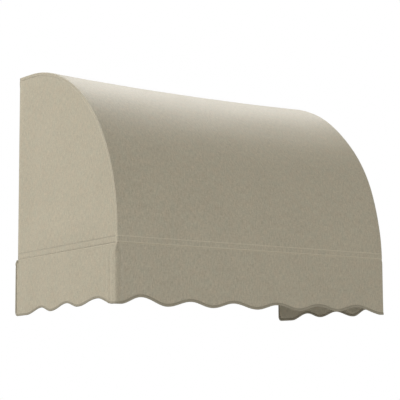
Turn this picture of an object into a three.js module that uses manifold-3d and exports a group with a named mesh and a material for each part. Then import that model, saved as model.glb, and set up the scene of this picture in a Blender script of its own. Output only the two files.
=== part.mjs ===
// Convex window awning: a canvas cover and scalloped valance on a knock-down frame of square tube.
// Millimetres, +Z up, +Y towards the wall, +X to the right of someone who faces the wall.
// The origin is the middle of the wall face of the centre header bracket, so the wall is the plane Y = 0.
import * as THREE from "three";
import { mergeVertices } from "three/addons/utils/BufferGeometryUtils.js";
import Module from "manifold-3d";

const wasm = await Module();
wasm.setup();

// Overall sizes of the cloth
const WIDTH = 1028.7;
const WALL_GAP = 18; // from the wall to the rear edges of the cover and the side panels
const REAR_TOP_Z = 53; // outer face of the cover at its rear edge
const TOP_FALL = 0.047; // radians that the flat top falls towards the front
const TOP_FLAT = 74; // length of the flat top before the bend
const BEND_RADIUS = 561; // outer face of the one long bend
const SEAM_Z = -529; // upper row of the double stitching
const HEM_Z = SEAM_Z - 18.5; // lower edges of the cover and the side panels
const CLOTH = 1;
const SAG = 13; // how far the cover dips between the bows

// Valance, measured round three sides from the middle of the front
const VALANCE_INSET = 1.5; // from the cover's outer face to the valance's outer face
const VALANCE_TOP_Z = SEAM_Z + 8;
const LEFT_END_Y = -5;
const RIGHT_END_Y = -87.5;
const LEFT_CORNER = 22; // the strip hangs in a slack bend round the left corner
const RIGHT_CORNER = 4; // and taut round the right one
const END_ROUND = 10; // upper corner of the left end
const BINDING = 6.6; // how far the tape laps over each face of the valance
// Turning points of the scalloped edge, as s and Z, from the left end to the right end
const SCALLOPS = [
  [-1137, -728],
  [-1062, -727.4],
  [-965, -708.6],
  [-904, -722.6],
  [-803, -704],
  [-740, -717.8],
  [-628, -699.7],
  [-545, -719.6],
  [-505, -720.9],
  [-436, -700.4],
  [-345, -725.2],
  [-262, -708.9],
  [-182, -724.8],
  [-103, -709.4],
  [-17, -725.4],
  [64, -709.9],
  [149, -725.7],
  [234, -709.6],
  [313, -723.3],
  [393, -707.5],
  [508, -729.3],
  [525, -728.5],
  [595, -708],
  [656, -727.8],
  [746, -707.8],
  [824, -722.8],
  [898, -706.4],
  [980, -727.5],
  [1054, -726.5],
];
const TAPE = 0.8;

// Frame
const TUBE = 19;
const TUBE_WALL = 1.5;
const CLOTH_GAP = 2.2; // between the cloth's inner face and the tubes
const JOINT_GAP = 0.4;
const SPIGOT = 15.2;
const SPIGOT_LENGTH = 24;
const RAIL_Z = SEAM_Z + 12; // underside of the arms and the front rail
const PLATE = 3;
const BRACKET_WIDTH = 40;
const BRACKET_HEIGHT = 60;
const HEADER_BRACKET_X = [-380, 0, 380];
const STRIP = [15, 2]; // clamp strip, width and thickness
const SCREW_RADIUS = 2.1;
const STRAP_WIDTH = 25;

// Derived positions
const HALF = WIDTH / 2;
const FALL_SIN = Math.sin(TOP_FALL);
const FALL_COS = Math.cos(TOP_FALL);
const BEND_Y = -WALL_GAP - TOP_FLAT * FALL_COS + BEND_RADIUS * FALL_SIN;
const BEND_Z = REAR_TOP_Z - TOP_FLAT * FALL_SIN - BEND_RADIUS * FALL_COS;
const FRONT_Y = BEND_Y - BEND_RADIUS;
const TUBE_X = HALF - CLOTH - CLOTH_GAP - TUBE / 2;
const TUBE_FRONT_Y = FRONT_Y + CLOTH + CLOTH_GAP + TUBE / 2;
const TUBE_REAR_Y = -WALL_GAP - CLOTH - 0.5 - TUBE / 2;
const HEADER_Z = BRACKET_HEIGHT / 2 + 0.3 + TUBE / 2;
const LOWER_Z = RAIL_Z + TUBE / 2;

const FINISH = {
  canvas: { color: 0xb8b19f, roughness: 0.92, metalness: 0 },
  tape: { color: 0x918978, roughness: 0.9, metalness: 0 },
  webbing: { color: 0x8c8576, roughness: 0.9, metalness: 0 },
  tube: { color: 0xb9bbbd, roughness: 0.42, metalness: 1 },
  plastic: { color: 0x1f2021, roughness: 0.6, metalness: 0 },
  zinc: { color: 0xa6a9ab, roughness: 0.45, metalness: 1 },
};

const awning = new THREE.Group();

function add(name, finish, geometry) {
  const mesh = new THREE.Mesh(geometry, new THREE.MeshStandardMaterial(FINISH[finish]));
  mesh.name = name;
  awning.add(mesh);
  return mesh;
}

// A block between two corners
function block(x0, x1, y0, y1, z0, z1) {
  const box = new THREE.BoxGeometry(Math.abs(x1 - x0), Math.abs(y1 - y0), Math.abs(z1 - z0));
  return box.translate((x0 + x1) / 2, (y0 + y1) / 2, (z0 + z1) / 2);
}

// A round pin along one axis, centred on a point
function pin(radius, length, axis, x, y, z, sides = 10) {
  const rod = new THREE.CylinderGeometry(radius, radius, length, sides);
  if (axis === "x") rod.rotateZ(Math.PI / 2);
  if (axis === "z") rod.rotateX(Math.PI / 2);
  return rod.translate(x, y, z);
}

function toSolid(geometry) {
  const bare = new THREE.BufferGeometry();
  bare.setAttribute("position", geometry.getAttribute("position"));
  if (geometry.index) bare.setIndex(geometry.index);
  const merged = mergeVertices(bare, 1e-3);
  const mesh = new wasm.Mesh({
    numProp: 3,
    vertProperties: new Float32Array(merged.attributes.position.array),
    triVerts: new Uint32Array(merged.index.array),
  });
  return new wasm.Manifold(mesh);
}

function toGeometry(solid) {
  const mesh = solid.getMesh();
  const geometry = new THREE.BufferGeometry();
  geometry.setAttribute("position", new THREE.BufferAttribute(mesh.vertProperties, 3));
  geometry.setIndex(new THREE.BufferAttribute(mesh.triVerts, 1));
  geometry.computeVertexNormals();
  return geometry;
}

function joined(...pieces) {
  let whole = toSolid(pieces[0]);
  for (const piece of pieces.slice(1)) whole = whole.add(toSolid(piece));
  return toGeometry(whole);
}

function drilled(geometry, pins) {
  let whole = toSolid(geometry);
  for (const hole of pins) whole = whole.subtract(toSolid(hole));
  return toGeometry(whole);
}

// Points of the side profile, set in by a distance from the cover's outer face.
// It runs along the flat top, round the bend, and down the short leg to a height.
function profile(inset, endZ, bendSteps) {
  const radius = BEND_RADIUS - inset;
  const points = [];
  for (const along of [0, TUBE + 8]) {
    points.push(new THREE.Vector2(-WALL_GAP - along, REAR_TOP_Z - along * TOP_FALL - inset / FALL_COS));
  }
  for (let i = 0; i <= bendSteps; i++) {
    const angle = TOP_FALL + ((Math.PI / 2 - TOP_FALL) * i) / bendSteps;
    points.push(new THREE.Vector2(BEND_Y - radius * Math.sin(angle), BEND_Z + radius * Math.cos(angle)));
  }
  points.push(new THREE.Vector2(FRONT_Y + inset, endZ));
  return points;
}

// A closed body from two matching grids of points, outer face first, with a rim round the edge.
function sheetBody(outer, inner) {
  const rows = outer.length;
  const columns = outer[0].length;
  const position = [];
  const index = [];
  for (const grid of [outer, inner]) {
    for (const row of grid) {
      for (const p of row) position.push(p.x, p.y, p.z);
    }
  }
  const at = (layer, r, c) => (layer * rows + r) * columns + c;
  const quad = (a, b, c, d) => index.push(a, c, b, a, d, c);
  for (let r = 0; r + 1 < rows; r++) {
    for (let c = 0; c + 1 < columns; c++) {
      quad(at(0, r, c), at(0, r + 1, c), at(0, r + 1, c + 1), at(0, r, c + 1));
      quad(at(1, r, c), at(1, r, c + 1), at(1, r + 1, c + 1), at(1, r + 1, c));
    }
  }
  for (let c = 0; c + 1 < columns; c++) {
    quad(at(0, 0, c), at(0, 0, c + 1), at(1, 0, c + 1), at(1, 0, c));
    quad(at(0, rows - 1, c), at(1, rows - 1, c), at(1, rows - 1, c + 1), at(0, rows - 1, c + 1));
  }
  for (let r = 0; r + 1 < rows; r++) {
    quad(at(0, r, 0), at(1, r, 0), at(1, r + 1, 0), at(0, r + 1, 0));
    quad(at(0, r, columns - 1), at(0, r + 1, columns - 1), at(1, r + 1, columns - 1), at(1, r, columns - 1));
  }
  const geometry = new THREE.BufferGeometry();
  geometry.setAttribute("position", new THREE.Float32BufferAttribute(position, 3));
  geometry.setIndex(index);
  geometry.computeVertexNormals();
  return geometry;
}

// The dip of the cover, towards the middle of the bend: none at the bows, the header and the front rail.
function dipped(x, point) {
  const dy = point.x - BEND_Y;
  const dz = point.y - BEND_Z;
  const share = THREE.MathUtils.clamp((Math.atan2(-dy, dz) + 0.035) / 1.535, 0, 1);
  const dip = SAG * Math.sqrt(Math.sin(Math.PI * share)) * (1 - (x / HALF) ** 2);
  const reach = Math.hypot(dy, dz);
  return new THREE.Vector3(x, point.x - (dy / reach) * dip, point.y - (dz / reach) * dip);
}

function cover() {
  const steps = 22;
  const flapZ = HEADER_Z - TUBE / 2 + 1.2;
  const faces = [0, CLOTH].map((inset) => {
    const line = profile(inset, HEM_Z, steps);
    line[0].x = -WALL_GAP - inset;
    line.unshift(new THREE.Vector2(-WALL_GAP - inset, flapZ));
    const grid = [];
    for (let c = 0; c <= 10; c++) {
      const x = -HALF + (WIDTH * c) / 10;
      grid.push(line.map((p) => dipped(x, p)));
    }
    return grid;
  });
  return sheetBody(faces[0], faces[1]);
}

// The side panel lies under the cover's edge and folds in behind the post as a flap.
function sidePanel(side) {
  const edge = profile(CLOTH + 0.3, HEM_Z, 22);
  const tucked = -WALL_GAP - CLOTH - 0.3; // the top of the rear edge stays inside the cover's rear flap
  edge[0].x = tucked;
  edge.push(new THREE.Vector2(-WALL_GAP, HEM_Z));
  edge.push(new THREE.Vector2(-WALL_GAP, HEADER_Z - 12));
  edge.push(new THREE.Vector2(tucked, HEADER_Z - 12));
  const sheet = new THREE.ExtrudeGeometry(new THREE.Shape(edge), { depth: CLOTH, bevelEnabled: false });
  // The shape's x is Y and its y is Z, and it is drawn out along X.
  const turn = new THREE.Matrix4().set(0, 0, 1, HALF - CLOTH, 1, 0, 0, 0, 0, 1, 0, 0, 0, 0, 0, 1);
  sheet.applyMatrix4(turn);
  const inner = TUBE_X - TUBE / 2;
  const flap = block(inner, HALF - 0.2, -WALL_GAP - CLOTH, -WALL_GAP, RAIL_Z + TUBE + 3, HEADER_Z - 14);
  return mirrored(joined(sheet, flap), side);
}

// A right-hand piece as it is, or turned over to the left
function mirrored(geometry, side) {
  if (side > 0) return geometry;
  geometry.scale(-1, 1, 1);
  const index = geometry.index.array;
  for (let i = 0; i < index.length; i += 3) {
    const kept = index[i + 1];
    index[i + 1] = index[i + 2];
    index[i + 2] = kept;
  }
  return geometry;
}

// A place on the valance: s runs round the three sides from the middle of the front, as on sharp corners.
function valancePoint(s, z, inset) {
  const side = Math.sign(s) || 1;
  const run = Math.abs(s);
  const corner = side < 0 ? LEFT_CORNER : RIGHT_CORNER;
  const bend = (run - (HALF - corner)) / (2 * corner);
  if (bend <= 0) return new THREE.Vector3(s, FRONT_Y + inset, z);
  if (bend >= 1) return new THREE.Vector3(side * (HALF - inset), FRONT_Y + (run - HALF), z);
  const angle = (bend * Math.PI) / 2;
  const radius = corner - inset;
  const x = HALF - corner + radius * Math.sin(angle);
  const y = FRONT_Y + corner - radius * Math.cos(angle);
  return new THREE.Vector3(side * x, y, z);
}

// The scalloped lower edge: half cosines from each turning point to the next.
function lowerEdge(s) {
  let i = 0;
  while (i < SCALLOPS.length - 2 && SCALLOPS[i + 1][0] < s) i += 1;
  const [from, fromZ] = SCALLOPS[i];
  const [to, toZ] = SCALLOPS[i + 1];
  const share = THREE.MathUtils.clamp((s - from) / (to - from), 0, 1);
  return fromZ + ((toZ - fromZ) * (1 - Math.cos(Math.PI * share))) / 2;
}

// Stations along the valance: close together at the rounded rear ends and the front corners.
function valanceStations() {
  const start = -(HALF + (LEFT_END_Y - FRONT_Y));
  const end = HALF + (RIGHT_END_Y - FRONT_Y);
  const round = 14;
  const stops = new Set();
  for (const d of [0, 1, 4, 8, round]) {
    stops.add(start + d);
    stops.add(end - d);
  }
  for (let k = 0; k <= 4; k++) {
    stops.add(LEFT_CORNER - HALF - (LEFT_CORNER * k) / 2);
    stops.add(HALF - RIGHT_CORNER + (RIGHT_CORNER * k) / 2);
  }
  for (let i = 0; i + 1 < SCALLOPS.length; i++) {
    for (const share of [0, 0.25, 0.5, 0.75]) {
      const s = SCALLOPS[i][0] + share * (SCALLOPS[i + 1][0] - SCALLOPS[i][0]);
      const inBend = Math.abs(Math.abs(s) - HALF) < (s < 0 ? LEFT_CORNER : RIGHT_CORNER) + 4;
      if (s > start + round + 6 && s < end - round - 6 && !inBend) stops.add(s);
    }
  }
  return [...stops]
    .sort((a, b) => a - b)
    .map((s) => {
      const d = Math.min(s - start, end - s, round);
      const lifted = round - Math.sqrt(Math.max(round * round - (round - d) ** 2, 0));
      // Where the left end reaches past the side panel it starts below the hem, with a rounded corner.
      const short = s - start <= round;
      const drop = END_ROUND - Math.sqrt(END_ROUND ** 2 - Math.max(END_ROUND - (s - start), 0) ** 2);
      const top = short ? HEM_Z - 2 - drop : VALANCE_TOP_Z;
      return { s, short, top, edge: lowerEdge(s) + lifted };
    });
}

// The valance hangs straight down behind the cover and the side panels.
function valance() {
  const stations = valanceStations();
  const heights = [VALANCE_TOP_Z, HEM_Z + 1, HEM_Z - 7, HEM_Z - 14, HEM_Z - 22];
  const faces = [0, CLOTH].map((inward) => {
    return stations.map(({ s, edge, top, short }) => {
      const lowest = HEM_Z - 22;
      const gap = (lowest - 4 - top) / (heights.length - 1);
      const rows = short ? heights.map((z, i) => top + gap * i) : heights;
      const column = rows.map((z) => valancePoint(s, z, VALANCE_INSET + inward));
      column.push(valancePoint(s, edge, VALANCE_INSET + inward));
      return column;
    });
  });
  return sheetBody(faces[0], faces[1]);
}

// The binding tape is a folded strip, U-shaped in section, that holds the valance's raw edge.
function binding() {
  const stations = valanceStations();
  const first = stations[0];
  const last = stations[stations.length - 1];
  const rightTop = HEM_Z - 26;
  const path = [
    ...stations
      .filter((station) => station.short)
      .reverse()
      .map(({ s, top }) => ({ s, z: top })),
    { s: first.s, z: (HEM_Z + first.edge) / 2 },
    ...stations.map(({ s, edge }) => ({ s, z: edge })),
    { s: last.s, z: (rightTop + last.edge) / 2 },
    { s: last.s, z: rightTop },
  ];
  const away = CLOTH / 2 + 0.3;
  const section = [
    [BINDING, away + TAPE],
    [-0.3 - TAPE, away + TAPE],
    [-0.3 - TAPE, -away - TAPE],
    [BINDING, -away - TAPE],
    [BINDING, -away],
    [-0.3, -away],
    [-0.3, away],
    [BINDING, away],
  ];
  const rings = path.map((p, i) => {
    const before = path[Math.max(i - 1, 0)];
    const after = path[Math.min(i + 1, path.length - 1)];
    const run = new THREE.Vector2(after.s - before.s, after.z - before.z).normalize();
    const inward = new THREE.Vector2(-run.y, run.x);
    return section.map(([lap, out]) => {
      const inset = VALANCE_INSET + CLOTH / 2 - out;
      return valancePoint(p.s + inward.x * lap, p.z + inward.y * lap, inset);
    });
  });
  return sweptBody(rings);
}

// A closed body through a row of matching rings of points, capped at both ends
function sweptBody(rings) {
  const sides = rings[0].length;
  const position = [];
  const index = [];
  for (const ring of rings) {
    for (const p of ring) position.push(p.x, p.y, p.z);
  }
  for (let r = 0; r + 1 < rings.length; r++) {
    for (let k = 0; k < sides; k++) {
      const a = r * sides + k;
      const b = r * sides + ((k + 1) % sides);
      index.push(a, b, b + sides, a, b + sides, a + sides);
    }
  }
  // The section is a U of three straight bars, so each cap is three quads.
  const caps = [
    [0, 1, 6, 7],
    [1, 2, 5, 6],
    [2, 3, 4, 5],
  ];
  const tail = (rings.length - 1) * sides;
  for (const [a, b, c, d] of caps) {
    index.push(a, c, b, a, d, c);
    index.push(tail + a, tail + b, tail + c, tail + a, tail + c, tail + d);
  }
  const geometry = new THREE.BufferGeometry();
  geometry.setAttribute("position", new THREE.Float32BufferAttribute(position, 3));
  geometry.setIndex(index);
  if (toSolid(geometry).volume() < 0) {
    for (let i = 0; i < index.length; i += 3) [index[i + 1], index[i + 2]] = [index[i + 2], index[i + 1]];
    geometry.setIndex(index);
  }
  geometry.computeVertexNormals();
  return geometry;
}

// Square tube section with eased outer corners and a square bore
function tubeSection() {
  const half = TUBE / 2;
  const ease = 1.2;
  const corners = [
    [half - ease, -half],
    [half, -half + ease],
    [half, half - ease],
    [half - ease, half],
    [-half + ease, half],
    [-half, half - ease],
    [-half, -half + ease],
    [-half + ease, -half],
  ];
  const section = new THREE.Shape(corners.map(([x, y]) => new THREE.Vector2(x, y)));
  const bore = half - TUBE_WALL;
  const hole = [
    [-bore, -bore],
    [-bore, bore],
    [bore, bore],
    [bore, -bore],
  ];
  section.holes.push(new THREE.Path(hole.map(([x, y]) => new THREE.Vector2(x, y))));
  return section;
}

// Straight tube along one axis between two places on it
function straightTube(axis, from, to, x, y, z) {
  const tube = new THREE.ExtrudeGeometry(tubeSection(), { depth: to - from, bevelEnabled: false });
  tube.translate(0, 0, from);
  if (axis === "x") tube.rotateY(Math.PI / 2);
  if (axis === "y") tube.rotateX(-Math.PI / 2);
  return tube.translate(x, y, z);
}

// Centre line of a bow: the side profile set in to the middle of the tube, between two ends
class BowLine extends THREE.Curve {
  constructor(startY, endZ) {
    super();
    const inset = CLOTH + CLOTH_GAP + TUBE / 2;
    this.radius = BEND_RADIUS - inset;
    this.bendStartY = BEND_Y - this.radius * FALL_SIN;
    this.bendStartZ = BEND_Z + this.radius * FALL_COS;
    this.flat = (startY - this.bendStartY) / FALL_COS;
    this.turn = Math.acos((endZ - BEND_Z) / this.radius) - TOP_FALL;
  }
  getPoint(t, target = new THREE.Vector3()) {
    const arc = this.radius * this.turn;
    const run = t * (this.flat + arc);
    if (run < this.flat) {
      const back = this.flat - run;
      return target.set(0, this.bendStartY + back * FALL_COS, this.bendStartZ + back * FALL_SIN);
    }
    const angle = TOP_FALL + (run - this.flat) / this.radius;
    return target.set(0, BEND_Y - this.radius * Math.sin(angle), BEND_Z + this.radius * Math.cos(angle));
  }
}

function bow(side) {
  const line = new BowLine(TUBE_REAR_Y - TUBE / 2 - JOINT_GAP - 0.4, RAIL_Z + TUBE + JOINT_GAP + 0.3);
  const tube = new THREE.ExtrudeGeometry(tubeSection(), { steps: 26, bevelEnabled: false, extrudePath: line });
  return tube.translate(side * TUBE_X, 0, 0);
}

// Corner connector: a cube the size of the tube, with a square spigot for each tube that meets there
function connector(x, y, z, spigots) {
  const half = TUBE / 2;
  const arm = SPIGOT_LENGTH;
  const pieces = [block(x - half, x + half, y - half, y + half, z - half, z + half)];
  for (const [direction, size, tilt] of spigots) {
    const s = size / 2;
    let peg;
    if (direction === "x+") peg = block(0, half + arm, -s, s, -s, s);
    if (direction === "x-") peg = block(-half - arm, 0, -s, s, -s, s);
    if (direction === "y+") peg = block(-s, s, 0, half + arm, -s, s);
    if (direction === "y-") peg = block(-s, s, -half - arm, 0, -s, s);
    if (direction === "z+") peg = block(-s, s, -s, s, 0, half + arm * 0.7);
    if (direction === "z-") peg = block(-s, s, -s, s, -half - arm, 0);
    peg.rotateX(tilt);
    pieces.push(peg.translate(x, y, z));
  }
  return joined(...pieces);
}

// Pan head screw with a cross recess; the head's underside is at 0 and the head points along +Z.
function screw(length) {
  const outline = [
    [0, -length],
    [SCREW_RADIUS * 0.4, -length],
    [SCREW_RADIUS, -length + 3],
    [SCREW_RADIUS, 0],
    [4, 0],
    [4, 1],
    [2.6, 2.3],
    [0, 2.6],
  ];
  const body = new THREE.LatheGeometry(
    outline.map(([x, y]) => new THREE.Vector2(x, y)),
    10,
  );
  body.rotateX(Math.PI / 2);
  const slot = block(-2, 2, -0.4, 0.4, 1.4, 4);
  const cross = block(-0.4, 0.4, -2, 2, 1.4, 4);
  return drilled(body, [slot, cross]);
}

function placedScrew(length, facing, x, y, z) {
  const body = screw(length);
  if (facing === "y+") body.rotateX(-Math.PI / 2);
  if (facing === "z-") body.rotateX(Math.PI);
  if (facing === "x+") body.rotateY(Math.PI / 2);
  if (facing === "x-") body.rotateY(-Math.PI / 2);
  return body.translate(x, y, z);
}

const CLEAR = SCREW_RADIUS + 0.3;
const REAR_FACE = TUBE_REAR_Y + TUBE / 2; // rear faces of the header and the posts
const STRIP_Y = -WALL_GAP + 0.4; // front face of the clamp strips
const HEADER_SCREWS = [-420, -140, 140, 420];
const POST_SCREWS = [-40, -235, -430];
const FOOT_SCREWS = [-70, -86];
const header = { from: -TUBE_X + TUBE / 2 + JOINT_GAP, to: TUBE_X - TUBE / 2 - JOINT_GAP };

// Header rail, with holes for the clamp screws at the back and the bracket screws below
const headerHoles = [
  ...HEADER_SCREWS.map((x) => pin(CLEAR, 6, "y", x, REAR_FACE, HEADER_Z)),
  ...HEADER_BRACKET_X.map((x) => pin(CLEAR, 6, "z", x, TUBE_REAR_Y, HEADER_Z - TUBE / 2)),
];
const headerTube = straightTube("x", header.from, header.to, 0, TUBE_REAR_Y, HEADER_Z);
add("header_rail", "tube", drilled(headerTube, headerHoles));
add("front_rail", "tube", straightTube("x", header.from, header.to, 0, TUBE_FRONT_Y, LOWER_Z));

for (const [label, side] of [
  ["left", -1],
  ["right", 1],
]) {
  const x = side * TUBE_X;
  add(`bow_${label}`, "tube", bow(side));

  // Post up the wall between the two rear connectors
  const postHoles = POST_SCREWS.map((z) => pin(CLEAR, 6, "y", x, REAR_FACE, z));
  const postFrom = RAIL_Z + TUBE + JOINT_GAP;
  const post = straightTube("z", postFrom, HEADER_Z - TUBE / 2 - JOINT_GAP, x, TUBE_REAR_Y, 0);
  add(`post_${label}`, "tube", drilled(post, postHoles));

  // Arm from the wall to the front rail; its near wall takes the foot bracket's screws
  const armX = x - side * (TUBE / 2);
  const armHoles = FOOT_SCREWS.map((y) => pin(CLEAR, 6, "x", armX, y, LOWER_Z));
  const armFrom = -(TUBE_REAR_Y - TUBE / 2 - JOINT_GAP);
  const armTo = -(TUBE_FRONT_Y + TUBE / 2 + JOINT_GAP);
  const arm = straightTube("y", -armTo, -armFrom, x, 0, LOWER_Z);
  add(`arm_${label}`, "tube", drilled(arm, armHoles));

  // Connectors
  const inward = side > 0 ? "x-" : "x+";
  const topPegs = [
    [inward, SPIGOT, 0],
    ["z-", SPIGOT, 0],
    ["y-", SPIGOT - 0.6, TOP_FALL],
  ];
  add(`corner_top_${label}`, "plastic", connector(x, TUBE_REAR_Y, HEADER_Z, topPegs));
  const footPegs = [
    ["z+", SPIGOT, 0],
    ["y-", SPIGOT, 0],
  ];
  add(`corner_foot_${label}`, "plastic", connector(x, TUBE_REAR_Y, LOWER_Z, footPegs));
  const frontPegs = [
    [inward, SPIGOT, 0],
    ["y+", SPIGOT, 0],
    ["z+", 13.2, 0],
  ];
  add(`corner_front_${label}`, "plastic", connector(x, TUBE_FRONT_Y, LOWER_Z, frontPegs));

  // Foot bracket: a plate on the wall and a web along the inner face of the arm
  const webX = armX - side * 0.4;
  const plateIn = webX - side * BRACKET_WIDTH;
  const foot = joined(
    block(plateIn, webX, -PLATE, 0, LOWER_Z - BRACKET_HEIGHT / 2, LOWER_Z + BRACKET_HEIGHT / 2),
    block(webX - side * PLATE, webX, -97, -PLATE / 2, LOWER_Z - 8.5, LOWER_Z + 8.5),
  );
  const footMiddle = webX - side * (PLATE + (BRACKET_WIDTH - PLATE) / 2);
  const footHoles = [
    pin(3.3, 10, "y", footMiddle, -1.5, LOWER_Z - 19),
    pin(3.3, 10, "y", footMiddle, -1.5, LOWER_Z + 19),
    ...FOOT_SCREWS.map((y) => pin(CLEAR, 10, "x", webX, y, LOWER_Z)),
  ];
  add(`bracket_foot_${label}`, "zinc", drilled(foot, footHoles));
  FOOT_SCREWS.forEach((y, i) => {
    const facing = side > 0 ? "x-" : "x+";
    const seat = webX - side * (PLATE + 0.3);
    add(`screw_foot_${label}_${i + 1}`, "zinc", placedScrew(12, facing, seat, y, LOWER_Z));
  });

  // Side panel, with its clamp strip and screws behind the post
  const panelHoles = POST_SCREWS.map((z) => pin(CLEAR, 6, "y", x, -WALL_GAP, z));
  add(`side_panel_${label}`, "canvas", drilled(sidePanel(side), panelHoles));
  const stripHalf = STRIP[0] / 2;
  const stripFoot = RAIL_Z + TUBE + 6;
  const postStrip = block(x - stripHalf, x + stripHalf, STRIP_Y, STRIP_Y + STRIP[1], stripFoot, HEADER_Z - 16);
  add(`clamp_strip_${label}`, "tube", drilled(postStrip, panelHoles));
  POST_SCREWS.forEach((z, i) => {
    const head = STRIP_Y + STRIP[1] + 0.3;
    add(`screw_post_${label}_${i + 1}`, "zinc", placedScrew(13, "y+", x, head, z));
  });
}

// Header brackets: a plate down the wall and a web forward under the header rail
HEADER_BRACKET_X.forEach((x, i) => {
  const w = BRACKET_WIDTH / 2;
  const top = BRACKET_HEIGHT / 2;
  const bracket = joined(
    block(x - w, x + w, -PLATE, 0, -top, top),
    block(x - w, x + w, TUBE_REAR_Y - TUBE / 2, -PLATE / 2, top - PLATE, top),
  );
  const holes = [
    pin(3.3, 10, "y", x, -1.5, -19),
    pin(3.3, 10, "y", x, -1.5, 15),
    pin(CLEAR, 10, "z", x, TUBE_REAR_Y, top - PLATE / 2),
  ];
  add(`bracket_header_${i + 1}`, "zinc", drilled(bracket, holes));
  add(`screw_bracket_${i + 1}`, "zinc", placedScrew(12, "z-", x, TUBE_REAR_Y, top - PLATE - 0.3));
});

// The cover, and the strip that clamps its rear flap to the header
const flapHoles = HEADER_SCREWS.map((x) => pin(CLEAR, 6, "y", x, -WALL_GAP, HEADER_Z));
add("cover_panel", "canvas", drilled(cover(), flapHoles));
const stripZ = HEADER_Z - STRIP[0] / 2 + 0.2;
const topStrip = block(-490, 490, STRIP_Y, STRIP_Y + STRIP[1], stripZ, stripZ + STRIP[0]);
add("clamp_strip_header", "tube", drilled(topStrip, flapHoles));
HEADER_SCREWS.forEach((x, i) => {
  const head = STRIP_Y + STRIP[1] + 0.3;
  add(`screw_header_${i + 1}`, "zinc", placedScrew(13, "y+", x, head, HEADER_Z));
});

add("valance", "canvas", valance());
add("valance_binding", "tape", binding());

// Tie strap: a webbing loop round the tube, with a tail that the seam's double stitching holds.
// It is drawn with x from the cover's outer face inwards and y upwards from the underside of the tube.
function strapLoop() {
  const out = 0.4;
  const thick = 1;
  const near = CLOTH + CLOTH_GAP;
  const far = near + TUBE;
  const tail = RAIL_Z - SEAM_Z + 17;
  const loop = [
    [near - out - thick, -out - thick],
    [near - 0.1, -out - thick],
    [near - 0.1, -tail],
    [near - 0.1 + thick, -tail],
    [near - 0.1 + thick, -out - thick],
    [far + out + thick, -out - thick],
    [far + out + thick, TUBE + out + thick],
    [near - out - thick, TUBE + out + thick],
  ];
  const shape = new THREE.Shape(loop.map(([x, y]) => new THREE.Vector2(x, y)));
  const inner = [
    [near - out, -out],
    [near - out, TUBE + out],
    [far + out, TUBE + out],
    [far + out, -out],
  ];
  shape.holes.push(new THREE.Path(inner.map(([x, y]) => new THREE.Vector2(x, y))));
  const strap = new THREE.ExtrudeGeometry(shape, { depth: STRAP_WIDTH, bevelEnabled: false });
  return strap.translate(0, 0, -STRAP_WIDTH / 2);
}

[-330, 0, 330].forEach((x, i) => {
  const strap = strapLoop();
  // The drawing's x goes to +Y, its y to +Z and its depth to +X.
  strap.applyMatrix4(new THREE.Matrix4().set(0, 0, 1, x, 1, 0, 0, FRONT_Y, 0, 1, 0, RAIL_Z, 0, 0, 0, 1));
  add(`strap_front_${i + 1}`, "webbing", strap);
});
for (const [label, side] of [
  ["left", -1],
  ["right", 1],
]) {
  [-200, -440].forEach((y, i) => {
    const strap = strapLoop();
    // The drawing's x goes inwards from the side, and its depth along the arm.
    const m = new THREE.Matrix4().set(-side, 0, 0, side * HALF, 0, 0, side, y, 0, 1, 0, RAIL_Z, 0, 0, 0, 1);
    strap.applyMatrix4(m);
    add(`strap_${label}_${i + 1}`, "webbing", strap);
  });
}

export default awning;
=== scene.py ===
import math

import bmesh
import bpy
import numpy as np
from mathutils import Matrix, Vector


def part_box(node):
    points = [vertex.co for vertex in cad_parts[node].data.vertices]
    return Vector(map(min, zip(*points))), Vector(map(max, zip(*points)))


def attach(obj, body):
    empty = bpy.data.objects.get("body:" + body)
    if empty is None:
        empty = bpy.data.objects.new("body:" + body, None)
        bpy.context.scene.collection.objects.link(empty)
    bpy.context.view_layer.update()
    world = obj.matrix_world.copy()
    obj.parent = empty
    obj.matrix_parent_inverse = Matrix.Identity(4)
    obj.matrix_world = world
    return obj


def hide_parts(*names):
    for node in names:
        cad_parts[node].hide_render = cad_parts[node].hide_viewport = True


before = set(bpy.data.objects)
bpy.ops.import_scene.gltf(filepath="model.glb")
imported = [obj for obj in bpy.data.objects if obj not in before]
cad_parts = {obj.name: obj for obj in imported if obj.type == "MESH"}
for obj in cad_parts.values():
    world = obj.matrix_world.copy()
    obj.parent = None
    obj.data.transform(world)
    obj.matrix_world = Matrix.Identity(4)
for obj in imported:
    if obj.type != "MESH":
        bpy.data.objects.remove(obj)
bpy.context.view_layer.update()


# Viewpoint. The awning is seen from the front left and from a little below its hem, as it hangs on a wall.
# The aim is a heading from the wall's normal, a lift above level, and a slight lean.
heading, lift, lean = math.radians(35.853), math.radians(8.328), math.radians(-0.5315)
ahead = np.array([math.sin(heading) * math.cos(lift), math.cos(heading) * math.cos(lift), math.sin(lift)])
across = np.array([math.cos(heading), -math.sin(heading), 0.0])
upward = np.cross(across, ahead)
across, upward = (
    across * math.cos(lean) + upward * math.sin(lean),
    upward * math.cos(lean) - across * math.sin(lean),
)
camera = bpy.data.objects.new("camera", bpy.data.cameras.new("camera"))
camera.data.lens = 109.18
camera.data.sensor_width = 36
camera.data.clip_end = 60
placed = Matrix(np.column_stack([across, upward, -ahead])).to_4x4()
placed.translation = (-2.3194, -3.5225, -0.9290)
camera.matrix_world = placed
bpy.context.scene.collection.objects.link(camera)
bpy.context.scene.camera = camera
bpy.context.scene.view_settings.view_transform = "Standard"


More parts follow.
